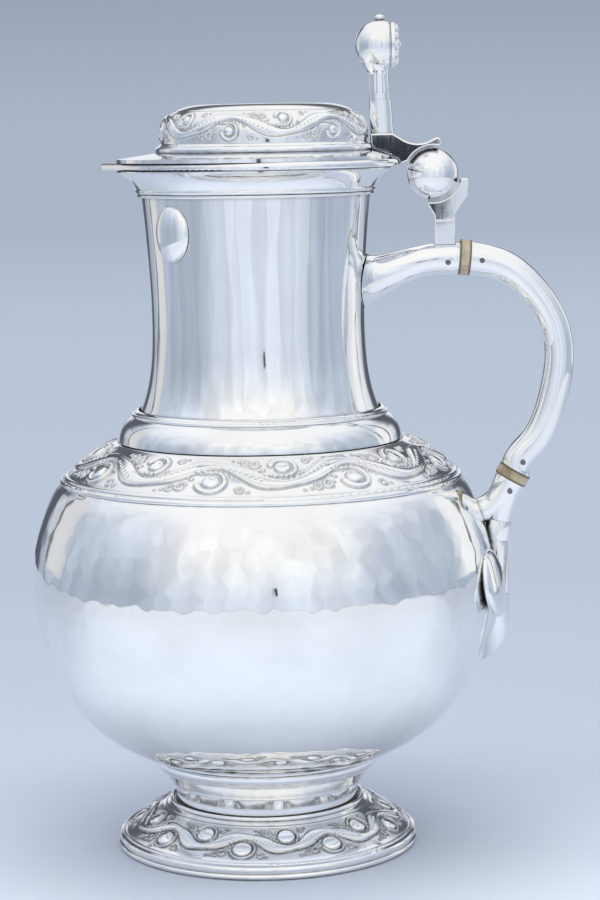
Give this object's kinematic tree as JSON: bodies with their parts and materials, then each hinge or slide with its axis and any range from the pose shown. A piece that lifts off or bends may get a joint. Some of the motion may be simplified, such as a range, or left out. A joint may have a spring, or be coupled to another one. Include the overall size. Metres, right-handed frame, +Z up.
{
  "type": "water pitcher",
  "caption": "Silver water pitcher with a round body, waisted neck, hinged domed lid with a ball thumbpiece, and a hollow loop handle set between bone rings.",
  "frame": {"origin": "centre of the foot's underside, on the body's vertical axis", "axes": "+Z up, +X towards the handle and hinge, -X towards the pouring lip, +Y away from the viewer of the side with the handle on the right"},
  "size_m": [0.2011, 0.1708, 0.305],
  "materials": {
    "polished_silver": "polished silver",
    "hammered_silver": "hand-hammered, polished silver",
    "chased_silver": "chased silver with darker hollows",
    "bone": "polished bone"
  },
  "bodies": {
    "vessel": {"foot_rim": "polished_silver", "foot_flange": "chased_silver", "foot_waist": "polished_silver", "waist_wire": "polished_silver", "foot_collar": "polished_silver", "body_bowl": "hammered_silver", "shoulder_wire": "polished_silver", "neck_tube": "hammered_silver", "neck_collar": "polished_silver", "mouth_rim": "polished_silver", "lip_drops": "polished_silver", "upper_socket": "polished_silver", "upper_insulator": "bone", "handle_grip": "polished_silver", "lower_insulator": "bone", "lower_socket": "polished_silver", "insulator_pins": "polished_silver", "terminal_cuff": "polished_silver", "terminal_calyx": "polished_silver", "terminal_lobes": "polished_silver", "terminal_tip": "polished_silver", "hinge_post": "polished_silver", "post_knuckles": "polished_silver", "hinge_pin": "polished_silver", "hinge_ball_front": "polished_silver", "hinge_ball_back": "polished_silver"},
    "lid": {"lid_flange": "polished_silver", "lid_bezel": "polished_silver", "lid_step": "polished_silver", "lid_ring": "polished_silver", "lid_dome": "chased_silver", "hinge_arm": "polished_silver", "lid_knuckle": "polished_silver", "thumb_sleeve": "polished_silver", "thumb_stem": "polished_silver", "thumb_bud": "polished_silver", "thumb_band": "polished_silver", "thumb_disc": "polished_silver", "thumb_rosette": "polished_silver", "thumb_bead": "polished_silver"}
  },
  "joints": [
    {"name": "lid_hinge", "type": "hinge", "parent": "vessel", "child": "lid", "pos_m": [0.0645, 0, 0.2475], "axis": [0, 1, 0], "range_deg": [0, 81]}
  ]
}
